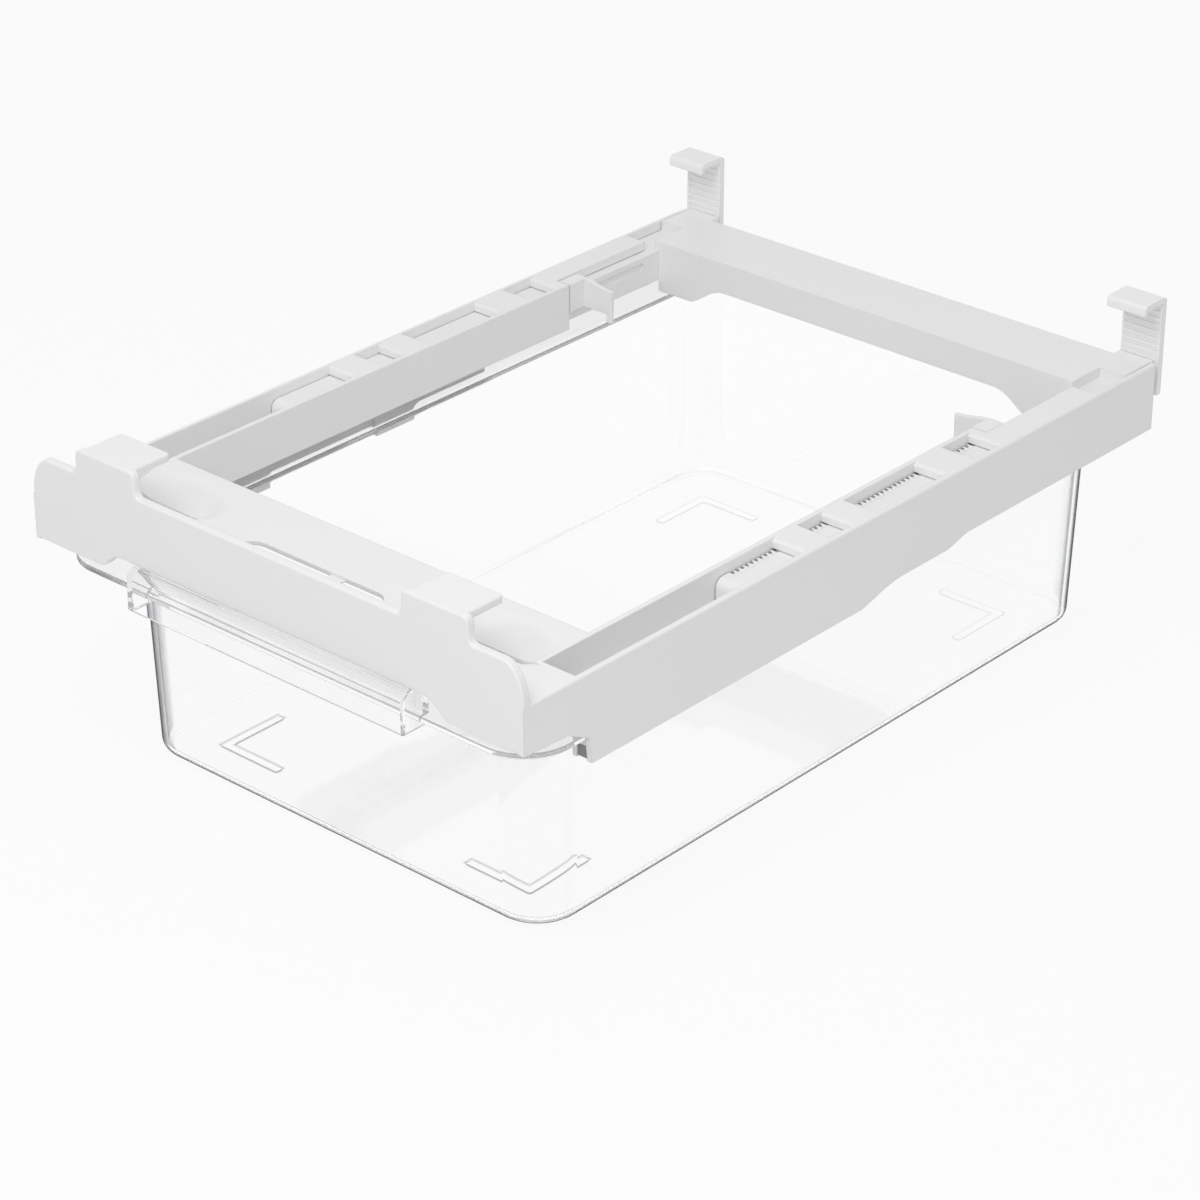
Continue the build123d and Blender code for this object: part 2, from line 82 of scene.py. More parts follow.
class NodeBench:
    """Adds and wires nodes in one tree."""

    def __init__(self, tree: bpy.types.NodeTree) -> None:
        """Keeps the tree that the nodes go into.

        Args:
            tree: The material's tree or a node group.
        """
        self.tree = tree

    def add(self, kind: str, **settings) -> bpy.types.Node:
        """Makes a node and sets its properties and input sockets.

        Args:
            kind: Blender's name for the node type.
            **settings: Properties by name, or input values with a leading "in_".

        Returns:
            The new node.
        """
        node = self.tree.nodes.new(kind)
        for name, value in settings.items():
            if name.startswith("in_"):
                self.feed(value, node.inputs[name[3:].replace("_", " ")])
            else:
                setattr(node, name, value)
        return node

    def wire(self, out_socket: bpy.types.NodeSocket, in_socket: bpy.types.NodeSocket) -> None:
        """Links an output socket to an input socket."""
        self.tree.links.new(out_socket, in_socket)

    def feed(self, value: bpy.types.NodeSocket | float | tuple[float, ...],
             in_socket: bpy.types.NodeSocket) -> None:
        """Links a socket to an input, or sets the input to a plain value.

        Args:
            value: A socket, a number, or the numbers of a colour or vector.
            in_socket: The input.
        """
        if isinstance(value, bpy.types.NodeSocket):
            self.wire(value, in_socket)
        else:
            in_socket.default_value = value

    def number(self, operation: str,
               *values: bpy.types.NodeSocket | float) -> bpy.types.NodeSocket:
        """Adds an operation on numbers.

        Args:
            operation: Blender's name for the operation.
            *values: Its inputs.

        Returns:
            The result's socket.
        """
        node = self.add("ShaderNodeMath", operation=operation)
        for value, socket in zip(values, node.inputs):
            self.feed(value, socket)
        return node.outputs[0]

    def vector(self, operation: str, *values: bpy.types.NodeSocket) -> bpy.types.NodeSocket:
        """Adds an operation on vectors.

        Args:
            operation: Blender's name for the operation.
            *values: Its inputs.

        Returns:
            The result's socket.
        """
        node = self.add("ShaderNodeVectorMath", operation=operation)
        for value, socket in zip(values, node.inputs):
            self.feed(value, socket)
        return node.outputs[0]

    def axes(self, vector: bpy.types.NodeSocket) -> bpy.types.NodeOutputs:
        """Returns the sockets X, Y and Z of a vector."""
        return self.add("ShaderNodeSeparateXYZ", in_Vector=vector).outputs

    def spread(self, value: bpy.types.NodeSocket, low: float, high: bpy.types.NodeSocket | float,
               start: float = 0.0, end: float = 1.0, smooth: bool = True) -> bpy.types.NodeSocket:
        """Turns one range of values into another.

        Args:
            value: What is turned.
            low: Where the first range starts.
            high: Where it ends.
            start: The result at low.
            end: The result at high.
            smooth: Whether the result eases in and out.

        Returns:
            The result's socket.
        """
        return self.add("ShaderNodeMapRange", in_Value=value, in_From_Min=low, in_From_Max=high,
                        in_To_Min=start, in_To_Max=end,
                        interpolation_type="SMOOTHSTEP" if smooth else "LINEAR").outputs["Result"]

    def blend(self, factor: bpy.types.NodeSocket, first: bpy.types.NodeSocket | Colour,
              second: bpy.types.NodeSocket | Colour) -> bpy.types.NodeSocket:
        """Mixes two colours.

        Args:
            factor: The second colour's share.
            first: The first colour.
            second: The second colour.

        Returns:
            The mixed colour's socket.
        """
        node = self.add("ShaderNodeMix", data_type="RGBA")
        self.feed(factor, node.inputs["Factor"])
        for colour, name in ((first, "A"), (second, "B")):
            plain = not isinstance(colour, bpy.types.NodeSocket)
            self.feed((*colour, 1) if plain else colour, node.inputs[name])
        return node.outputs["Result"]


def blank_material(name: str) -> tuple[bpy.types.Material, NodeBench]:
    """Makes a material without nodes.

    Args:
        name: The material's name.

    Returns:
        The material and a bench for its tree.
    """
    material = bpy.data.materials.new(name)
    material.use_nodes = True
    material.node_tree.nodes.clear()
    return material, NodeBench(material.node_tree)


class SharedNodes:
    """A shader node group that is built once and placed where a material needs it."""

    GROUP = ""
    INPUTS: dict[str, str] = {}
    OUTPUTS: tuple[str, ...] = ()

    @classmethod
    def group(cls) -> bpy.types.NodeTree:
        """Builds the node group once.

        Returns:
            The group.
        """
        known = bpy.data.node_groups.get(cls.GROUP)
        if known:
            return known
        tree = bpy.data.node_groups.new(cls.GROUP, "ShaderNodeTree")
        for name, kind in cls.INPUTS.items():
            tree.interface.new_socket(name, in_out="INPUT", socket_type=f"NodeSocket{kind}")
        for name in cls.OUTPUTS:
            tree.interface.new_socket(name, in_out="OUTPUT", socket_type="NodeSocketFloat")
        bench = NodeBench(tree)
        cls.fill(bench, bench.add("NodeGroupInput").outputs, bench.add("NodeGroupOutput").inputs,
                 bench.add("ShaderNodeTexCoord").outputs)
        return tree

    @classmethod
    def fill(cls, bench: NodeBench, given: bpy.types.NodeOutputs, result: bpy.types.NodeInputs,
             place: bpy.types.NodeOutputs) -> None:
        """Adds the group's own nodes.

        Args:
            bench: The group's bench.
            given: The group's inputs.
            result: The group's outputs.
            place: The piece's own coordinates.
        """
        raise NotImplementedError

    @classmethod
    def put_in(cls, bench: NodeBench, **values) -> bpy.types.NodeOutputs:
        """Places the group in a material.

        Args:
            bench: The material's bench.
            **values: The group's inputs, with a leading "in_".

        Returns:
            The group's outputs.
        """
        node = bench.add("ShaderNodeGroup", node_tree=cls.group())
        for name, value in values.items():
            bench.feed(value, node.inputs[name[3:].replace("_", " ")])
        return node.outputs


class MouldedSkin(SharedNodes):
    """The surface of injection-moulded plastic: Height is its fine grain, Tone a faint cloud."""

    GROUP = "moulded_skin"
    INPUTS = {"Grain Size": "Float", "Cloud Size": "Float"}
    OUTPUTS = ("Height", "Tone")
    GRAIN_DETAIL = 3.0
    CLOUD_DETAIL = 2.0
    NOISE_ROUGHNESS = 0.55

    @classmethod
    def fill(cls, bench: NodeBench, given: bpy.types.NodeOutputs, result: bpy.types.NodeInputs,
             place: bpy.types.NodeOutputs) -> None:
        """Adds a noise for the grain and one for the cloud.

        Args:
            bench: The group's bench.
            given: The group's inputs.
            result: The group's outputs.
            place: The piece's own coordinates.
        """
        for size, name, detail in (("Grain Size", "Height", cls.GRAIN_DETAIL),
                                   ("Cloud Size", "Tone", cls.CLOUD_DETAIL)):
            noise = bench.add("ShaderNodeTexNoise", in_Vector=place["Object"], in_Detail=detail,
                              in_Scale=bench.number("DIVIDE", 1.0, given[size]),
                              in_Roughness=cls.NOISE_ROUGHNESS)
            bench.wire(noise.outputs["Fac"], result[name])


@dataclass(frozen=True)
class WhitePlastic:
    """Satin white moulded plastic, with softly rounded edges."""

    name: str
    colour: Colour = (0.925, 0.925, 0.927)
    shade: Colour = (0.91, 0.911, 0.914)
    roughness: float = 0.42
    uneven: float = 0.04
    grain: float = 0.5 * MM
    grain_depth: float = 0.012 * MM
    grain_strength: float = 0.35
    cloud: float = 60 * MM
    edge: float = 0.45 * MM
    edge_samples: int = 8
    ior: float = 1.52

    def build(self) -> bpy.types.Material:
        """Makes the material.

        Returns:
            The finished material.
        """
        material, bench = blank_material(self.name)
        skin = MouldedSkin.put_in(bench, in_Grain_Size=self.grain, in_Cloud_Size=self.cloud)
        edge = bench.add("ShaderNodeBevel", samples=self.edge_samples, in_Radius=self.edge)
        bump = bench.add("ShaderNodeBump", in_Strength=self.grain_strength,
                         in_Distance=self.grain_depth, in_Height=skin["Height"],
                         in_Normal=edge.outputs["Normal"])
        body = bench.add("ShaderNodeBsdfPrincipled", in_IOR=self.ior,
                         in_Base_Color=bench.blend(skin["Tone"], self.colour, self.shade),
                         in_Roughness=bench.spread(skin["Tone"], 0.0, 1.0,
                                                   self.roughness - self.uneven,
                                                   self.roughness + self.uneven, smooth=False),
                         in_Normal=bump.outputs["Normal"])
        bench.add("ShaderNodeOutputMaterial", in_Surface=body.outputs["BSDF"])
        return material


class FootOutline(SharedNodes):
    """The mask of a painted dark line where the raised L-shaped feet show shade through clear
    plastic.

    Corner is a foot's corner from Middle, the point between the feet. Arm and Half Width size the
    foot, Line is the line's half width, and nothing above Below is marked. Mask is 1 on the line.
    """

    GROUP = "foot_outline"
    INPUTS = {"Corner": "Vector", "Middle": "Vector", "Arm": "Float", "Half Width": "Float",
              "Line": "Float", "Below": "Float"}
    OUTPUTS = ("Mask",)

    @classmethod
    def fill(cls, bench: NodeBench, given: bpy.types.NodeOutputs, result: bpy.types.NodeInputs,
             place: bpy.types.NodeOutputs) -> None:
        """Folds the four feet onto one and marks the edge of its two arms.

        Args:
            bench: The group's bench.
            given: The group's inputs.
            result: The group's outputs.
            place: The piece's own coordinates.
        """
        folded = bench.vector("ABSOLUTE",
                              bench.vector("SUBTRACT", place["Object"], given["Middle"]))
        local = bench.axes(bench.vector("SUBTRACT", folded, given["Corner"]))
        half_arm = bench.number("MULTIPLY", given["Arm"], 0.5)
        reach = bench.number("ADD", half_arm, given["Half Width"])
        arms = []
        for along, across in (("X", "Y"), ("Y", "X")):
            shifted = bench.number("ABSOLUTE", bench.number("ADD", local[along], half_arm))
            sideways = bench.number("ABSOLUTE", local[across])
            arms.append(bench.number("MAXIMUM", bench.number("SUBTRACT", shifted, reach),
                                     bench.number("SUBTRACT", sideways, given["Half Width"])))
        edge = bench.number("ABSOLUTE", bench.number("MINIMUM", *arms))
        line = bench.spread(edge, 0.0, given["Line"], 1.0, 0.0)
        low = bench.number("LESS_THAN", bench.axes(place["Object"])["Z"], given["Below"])
        bench.wire(bench.number("MULTIPLY", line, low), result["Mask"])


class CurvedShare(SharedNodes):
    """Tells the rounded parts of a moulding, where Share is 1, from its flat walls."""

    GROUP = "curved_share"
    OUTPUTS = ("Share",)
    FLAT = 0.998
    CURVED = 0.96

    @classmethod
    def fill(cls, bench: NodeBench, given: bpy.types.NodeOutputs, result: bpy.types.NodeInputs,
             place: bpy.types.NodeOutputs) -> None:
        """Measures how far the surface turns from the nearest axis.

        Args:
            bench: The group's bench.
            given: The group's inputs; not used.
            result: The group's outputs.
            place: The piece's own coordinates.
        """
        turn = bench.axes(bench.vector("ABSOLUTE", place["Normal"]))
        most = bench.number("MAXIMUM", bench.number("MAXIMUM", turn["X"], turn["Y"]), turn["Z"])
        bench.wire(bench.spread(most, cls.FLAT, cls.CURVED), result["Share"])


@dataclass(frozen=True)
class ClearPlastic:
    """Clear moulded plastic: it bends light, and painted grey shade darkens its rounded edges and
    marks its feet's edges.
    """

    name: str
    clear: Colour = (0.968, 0.969, 0.971)
    ior: float = 1.49
    roughness: float = 0.01
    ripple: float = 22 * MM
    ripple_depth: float = 0.15 * MM
    ripple_strength: float = 0.12
    cloud: float = 60 * MM
    # Painted shade: grey for the rounded edges, darker towards the bottom of the tub.
    rim_shade_low: Colour = (0.20, 0.21, 0.225)
    rim_shade_high: Colour = (0.50, 0.505, 0.515)
    rim_dark_below: float = 50 * MM
    rim_light_above: float = 71 * MM
    glance: float = 0.3
    rim_starts: float = 0.14
    rim_full: float = 0.72
    film_share: float = 0.9
    deepest: float = 7.5
    most_mirrored: float = 2.5
    # Painted shade: the dark line drawn along the feet's edges.
    line: Colour = (0.20, 0.21, 0.225)
    near_feet: float = -60 * MM
    far_feet: float = 60 * MM
    far_share: float = 0.3
    foot_corner: tuple[float, float, float] = (65.8 * MM, 118.5 * MM, 0.0)
    foot_middle: tuple[float, float, float] = (0.0, 4.9 * MM, 0.0)
    foot_arm: float = 23 * MM
    foot_half: float = 1.6 * MM
    foot_line: float = 0.75 * MM
    foot_below: float = 1.3 * MM

    def rim_shade_share(self, bench: NodeBench) -> bpy.types.NodeSocket:
        """Finds how much of the rim's painted grey shade shows: most where a rounded part faces
        away.

        Args:
            bench: The material's bench.

        Returns:
            The painted shade's share.
        """
        glance = bench.add("ShaderNodeLayerWeight", in_Blend=self.glance).outputs["Facing"]
        return bench.number("MULTIPLY", bench.spread(glance, self.rim_starts, self.rim_full),
                            CurvedShare.put_in(bench)["Share"])

    def foot_shade_share(self, bench: NodeBench, depth: bpy.types.NodeSocket) -> bpy.types.NodeSocket:
        """Finds how strong the feet's painted shade line is, weaker on the far feet.

        Args:
            bench: The material's bench.
            depth: The place from front to back.

        Returns:
            The painted line's share.
        """
        mask = FootOutline.put_in(bench, in_Corner=self.foot_corner, in_Middle=self.foot_middle,
                                  in_Arm=self.foot_arm, in_Half_Width=self.foot_half,
                                  in_Line=self.foot_line, in_Below=self.foot_below)["Mask"]
        return bench.number("MULTIPLY", mask, bench.spread(
            depth, self.near_feet, self.far_feet, 1.0, self.far_share, smooth=False))

    def through_share(self, bench: NodeBench, rim: bpy.types.NodeSocket) -> bpy.types.NodeSocket:
        """Finds the share of light that passes straight through.

        Shadows do, and so does what has turned too often, which would otherwise end black. On the
        rounded edges a share passes as a film in the painted grey shade.

        Args:
            bench: The material's bench.
            rim: The share of the rim's painted grey shade.

        Returns:
            The share.
        """
        path = bench.add("ShaderNodeLightPath").outputs
        deep = bench.number("GREATER_THAN", path["Ray Depth"], self.deepest)
        mirrored = bench.number("GREATER_THAN", path["Glossy Depth"], self.most_mirrored)
        straight = bench.number("MAXIMUM", path["Is Shadow Ray"],
                                bench.number("MAXIMUM", deep, mirrored))
        return bench.number("MAXIMUM", straight, bench.number("MULTIPLY", rim, self.film_share))

    def build(self) -> bpy.types.Material:
        """Makes the material.

        Returns:
            The finished material.
        """
        material, bench = blank_material(self.name)
        place = bench.axes(bench.add("ShaderNodeTexCoord").outputs["Object"])
        rim = self.rim_shade_share(bench)
        # Painted shade: grey on the rounded edges, darker towards the bottom, mixed into the clear
        # colour.
        rim_shade_colour = bench.blend(bench.spread(place["Z"], self.rim_dark_below, self.rim_light_above),
                               self.rim_shade_low, self.rim_shade_high)
        clear_and_rim_shade = bench.blend(rim, self.clear, rim_shade_colour)
        skin = MouldedSkin.put_in(bench, in_Grain_Size=self.ripple, in_Cloud_Size=self.cloud)
        bump = bench.add("ShaderNodeBump", in_Strength=self.ripple_strength,
                         in_Distance=self.ripple_depth, in_Height=skin["Height"])
        body = bench.add("ShaderNodeBsdfPrincipled", in_IOR=self.ior, in_Roughness=self.roughness,
                         in_Transmission_Weight=1.0, in_Normal=bump.outputs["Normal"],
                         in_Base_Color=bench.blend(self.foot_shade_share(bench, place["Y"]), clear_and_rim_shade,
                                                   self.line))
        passing = bench.add("ShaderNodeBsdfTransparent", in_Color=clear_and_rim_shade)
        either = bench.add("ShaderNodeMixShader", in_Fac=self.through_share(bench, rim))
        bench.wire(body.outputs["BSDF"], either.inputs[1])
        bench.wire(passing.outputs["BSDF"], either.inputs[2])
        bench.add("ShaderNodeOutputMaterial", in_Surface=either.outputs["Shader"])
        return material


# ---- The organizer ------------------------------------------------------------------------
def dress(node: str, material: bpy.types.Material) -> None:
    """Gives a CAD piece its finish.

    Args:
        node: The piece's name.
        material: Its finish.
    """
    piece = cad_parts[node]
    piece.data.materials.clear()
    piece.data.materials.append(material)
    LOG.info("dressed %s in %s", node, material.name)


def solid_item(name: str, points: list[tuple[float, float, float]],
               faces: list[tuple[int, ...]]) -> bpy.types.Object:
    """Makes an object from corners and faces, with its faces turned outwards.

    Args:
        name: The object's name.
        points: Corners, in metres.
        faces: Corner numbers of each face.

    Returns:
        The new object, at the origin.
    """
    mesh = bpy.data.meshes.new(name)
    mesh.from_pydata(points, [], faces)
    shape = bmesh.new()
    shape.from_mesh(mesh)
    bmesh.ops.remove_doubles(shape, verts=shape.verts, dist=SAME_POINT)
    bmesh.ops.recalc_face_normals(shape, faces=shape.faces)
    shape.to_mesh(mesh)
    shape.free()
    item = bpy.data.objects.new(name, mesh)
    bpy.context.scene.collection.objects.link(item)
    return item


def swept(name: str, outline: list[tuple[float, float]], start: float, end: float,
          run: Run) -> bpy.types.Object:
    """Makes a straight solid from an outline.

    Args:
        name: The object's name.
        outline: Corners in order: Y and Z when the solid runs across, X and Y when it runs up.
        start: Where the solid starts.
        end: Where it ends.
        run: The way it runs.

    Returns:
        The new object.
    """
    count = len(outline)
    points = [(a, b, at) if run is Run.UPWARDS else (at, a, b)
              for at in (start, end) for a, b in outline]
    faces = [tuple(range(count)), tuple(range(count, 2 * count))]
    for i in range(count):
        j = (i + 1) % count
        faces.append((i, j, j + count, i + count))
    return solid_item(name, points, faces)


def rounded(corners: list[tuple[float, float, float]], steps: int = 6) -> list[tuple[float, float]]:
    """Rounds the corners of an outline.

    Args:
        corners: Place of each corner and its radius.
        steps: Parts in each rounding.

    Returns:
        The outline's points.
    """
    found = []
    for i, (x, y, radius) in enumerate(corners):
        here = Vector((x, y))
        back = (Vector(corners[i - 1][:2]) - here).normalized()
        ahead = (Vector(corners[(i + 1) % len(corners)][:2]) - here).normalized()
        if radius == 0:
            found.append((x, y))
            continue
        half = math.acos(max(-1, min(1, back.dot(ahead)))) / 2
        centre = here + (back + ahead).normalized() * radius / math.sin(half)
        first = (here + back * radius / math.tan(half) - centre).normalized()
        last = (here + ahead * radius / math.tan(half) - centre).normalized()
        for k in range(steps + 1):
            spot = first.slerp(last, k / steps) * radius
            found.append((centre.x + spot.x, centre.y + spot.y))
    return found


def bake(item: bpy.types.Object) -> None:
    """Makes what an object's modifiers give its own mesh, and removes the modifiers.

    Args:
        item: The object that changes.
    """
    graph = bpy.context.evaluated_depsgraph_get()
    mesh = bpy.data.meshes.new_from_object(item.evaluated_get(graph))
    item.modifiers.clear()
    item.data = mesh


def join(item: bpy.types.Object, tool: bpy.types.Object, joining: Joining) -> None:
    """Joins a tool to an item or cuts it out, and removes the tool.

    Args:
        item: The object that changes.
        tool: The other solid.
        joining: What the tool does.
    """
    modifier = item.modifiers.new("join", "BOOLEAN")
    modifier.operation = joining.value
    modifier.solver = "EXACT"
    modifier.object = tool
    bake(item)
    bpy.data.objects.remove(tool, do_unlink=True)


def soften(item: bpy.types.Object, radius: float) -> None:
    """Rounds an item's sharp edges.

    Args:
        item: The object that changes.
        radius: The rounding, in metres.
    """
    modifier = item.modifiers.new("soften", "BEVEL")
    modifier.width = radius
    modifier.segments = EDGE_STEPS
    modifier.limit_method = "ANGLE"
    modifier.angle_limit = SHARP_ANGLE
    bake(item)


class RowTree:
    """The geometry node tree that repeats a small solid along a straight row."""

    NAME = "row_of_items"

    @classmethod
    def tree(cls) -> bpy.types.NodeTree:
        """Builds the tree once.

        Returns:
            The tree, with inputs Geometry, Count, Step and Finish.
        """
        known = bpy.data.node_groups.get(cls.NAME)
        if known:
            return known
        tree = bpy.data.node_groups.new(cls.NAME, "GeometryNodeTree")
        for name, kind in (("Geometry", "Geometry"), ("Count", "Int"), ("Step", "Vector"),
                           ("Finish", "Material")):
            tree.interface.new_socket(name, in_out="INPUT", socket_type=f"NodeSocket{kind}")
        tree.interface.new_socket("Geometry", in_out="OUTPUT", socket_type="NodeSocketGeometry")
        bench = NodeBench(tree)
        entry = bench.add("NodeGroupInput")
        leave = bench.add("NodeGroupOutput")
        line = bench.add("GeometryNodeMeshLine", mode="OFFSET")
        copies = bench.add("GeometryNodeInstanceOnPoints")
        solid = bench.add("GeometryNodeRealizeInstances")
        finish = bench.add("GeometryNodeSetMaterial")
        bench.wire(entry.outputs["Count"], line.inputs["Count"])
        bench.wire(entry.outputs["Step"], line.inputs["Offset"])
        bench.wire(line.outputs["Mesh"], copies.inputs["Points"])
        bench.wire(entry.outputs["Geometry"], copies.inputs["Instance"])
        bench.wire(copies.outputs["Instances"], solid.inputs["Geometry"])
        bench.wire(solid.outputs["Geometry"], finish.inputs["Geometry"])
        bench.wire(entry.outputs["Finish"], finish.inputs["Material"])
        bench.wire(finish.outputs["Geometry"], leave.inputs["Geometry"])
        return tree

    @classmethod
    def repeat(cls, item: bpy.types.Object, count: int, step: tuple[float, float, float],
               finish: bpy.types.Material) -> None:
        """Repeats the object's mesh and keeps the result as its mesh.

        Args:
            item: The object with one item of the row.
            count: How many items the row has.
            step: From one item to the next, in metres.
            finish: The row's material.
        """
        tree = cls.tree()
        modifier = item.modifiers.new("row", "NODES")
        modifier.node_group = tree
        values = {"Count": count, "Step": step, "Finish": finish}
        for socket in tree.interface.items_tree:
            if socket.in_out == "INPUT" and socket.name in values:
                modifier[socket.identifier] = values[socket.name]
        bake(item)


@dataclass(frozen=True)
class Rack:
    """Dark grey wedges of painted shade in the gaps between the teeth of a sliding arm's rack."""

    side: Side
    start: float = -49.6 * MM
    pitch: float = 2.2 * MM
    count: int = 58
    inner: float = 88.95 * MM
    outer: float = 89.6 * MM
    level: float = 91.95 * MM
    depth: float = 0.5 * MM
    slope_starts: float = 0.92 * MM
    floor_starts: float = 1.5 * MM
    floor_ends: float = 1.8 * MM
    slope_ends: float = 1.94 * MM

    def build(self, finish: bpy.types.Material) -> None:
        """Lays one row of painted shade wedges in the gaps on its arm.

        Args:
            finish: The dark grey finish that paints the shade.
        """
        low = self.level - self.depth
        outline = [(self.start + along, level) for along, level in (
            (self.slope_starts, self.level), (self.floor_starts, low),
            (self.floor_ends, low), (self.slope_ends, self.level))]
        inner, outer = sorted((self.side.sign * self.inner, self.side.sign * self.outer))
        row = swept(f"{self.side.value}_rack_gap_shadows", outline, inner, outer, Run.ACROSS)
        RowTree.repeat(row, self.count, (0, self.pitch, 0), finish)
        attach(row, "rear_frame")


@dataclass(frozen=True)
class LedgeShadowSheet:
    """A dark sheet of painted shade that closes the hollow end of a ledge, behind the notch."""

    side: Side
    front: float = -126.4 * MM
    rear: float = -126.0 * MM
    low: float = 66.1 * MM
    high: float = 70.5 * MM
    inner: float = 97.15 * MM
    outer: float = 101.15 * MM

    def build(self, finish: bpy.types.Material) -> None:
        """Sets the dark sheet into its hollow.

        Args:
            finish: The dark grey finish that paints the shade.
        """
        outline = [(self.front, self.low), (self.rear, self.low),
                   (self.rear, self.high), (self.front, self.high)]
        inner, outer = sorted((self.side.sign * self.inner, self.side.sign * self.outer))
        # Painted shade: a dark face where the hollow holds only shadow.
        shadow_sheet = swept(f"{self.side.value}_ledge_shadow_sheet", outline, inner, outer, Run.ACROSS)
        shadow_sheet.data.materials.append(finish)
        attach(shadow_sheet, "front_frame")


@dataclass(frozen=True)
class Ratchet:
    """The shallow lands in the ratchet grooves of a rear clip."""

    side: Side
    first: float = 97.0 * MM
    pitch: float = 2.4 * MM
    width: float = 0.9 * MM
    count: int = 8
    front: float = 156.52 * MM
    rear: float = 156.85 * MM
    inner: float = 88.5 * MM
    outer: float = 101.8 * MM

    def build(self, finish: bpy.types.Material) -> None:
        """Lays the lands in the clip's grooves.

        Args:
            finish: The clip's finish.
        """
        outline = [(self.front, self.first), (self.rear, self.first),
                   (self.rear, self.first + self.width), (self.front, self.first + self.width)]
        inner, outer = sorted((self.side.sign * self.inner, self.side.sign * self.outer))
        row = swept(f"{self.side.value}_clip_lands", outline, inner, outer, Run.ACROSS)
        RowTree.repeat(row, self.count, (0, 0, self.pitch), finish)
        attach(row, f"{self.side.value}_rear_clip")


@dataclass
class ClipOnFrame:
    """The white telescopic frame with its clips and latches."""

    finish: WhitePlastic = WhitePlastic("satin_white")
    # Painted light: a lighter copy of the frame's white that makes the clips look more brightly
    # lit.
    clip_painted_light_finish: WhitePlastic = WhitePlastic("satin_white_clip_painted_light", colour=(0.962, 0.963, 0.965),
                                             shade=(0.95, 0.951, 0.953))
    # Painted shade: a dark grey for the rack's tooth gaps and the ledges' hollow ends.
    painted_shade_finish: WhitePlastic = WhitePlastic("rack_gap_shade", colour=(0.24, 0.24, 0.245),
                                            shade=(0.28, 0.28, 0.285))

    def build(self) -> None:
        """Dresses the frame's pieces and adds their repeated details."""
        white = self.finish.build()
        for node in ("front_frame", "rear_frame"):
            dress(node, white)
        clip_painted_light = self.clip_painted_light_finish.build()
        painted_shade = self.painted_shade_finish.build()
        for side in Side:
            dress(f"{side.value}_rear_clip", clip_painted_light)
            dress(f"{side.value}_length_latch", white)
            Rack(side).build(painted_shade)
            LedgeShadowSheet(side).build(painted_shade)
            Ratchet(side).build(clip_painted_light)


@dataclass(frozen=True)
class Ring:
    """A level rounded rectangle, one ring of the tub's skin."""

    half_x: float
    front: float
    rear: float
    corner: float
    level: float

    def points(self, steps: int) -> list[tuple[float, float, float]]:
        """Lists the ring's points, anticlockwise seen from above.

        Args:
            steps: Parts in each corner's arc.

        Returns:
            The points, in metres.
        """
        middle = (self.front + self.rear) / 2
        half_y = (self.rear - self.front) / 2
        found = []
        for quarter in range(4):
            turn = math.pi / 2 * quarter
            side_x = 1 if quarter in (0, 3) else -1
            side_y = 1 if quarter in (0, 1) else -1
            for i in range(steps + 1):
                angle = turn + math.pi / 2 * i / steps
                found.append((side_x * (self.half_x - self.corner) + self.corner * math.cos(angle),
                              middle + side_y * (half_y - self.corner)
                              + self.corner * math.sin(angle), self.level))
        return found


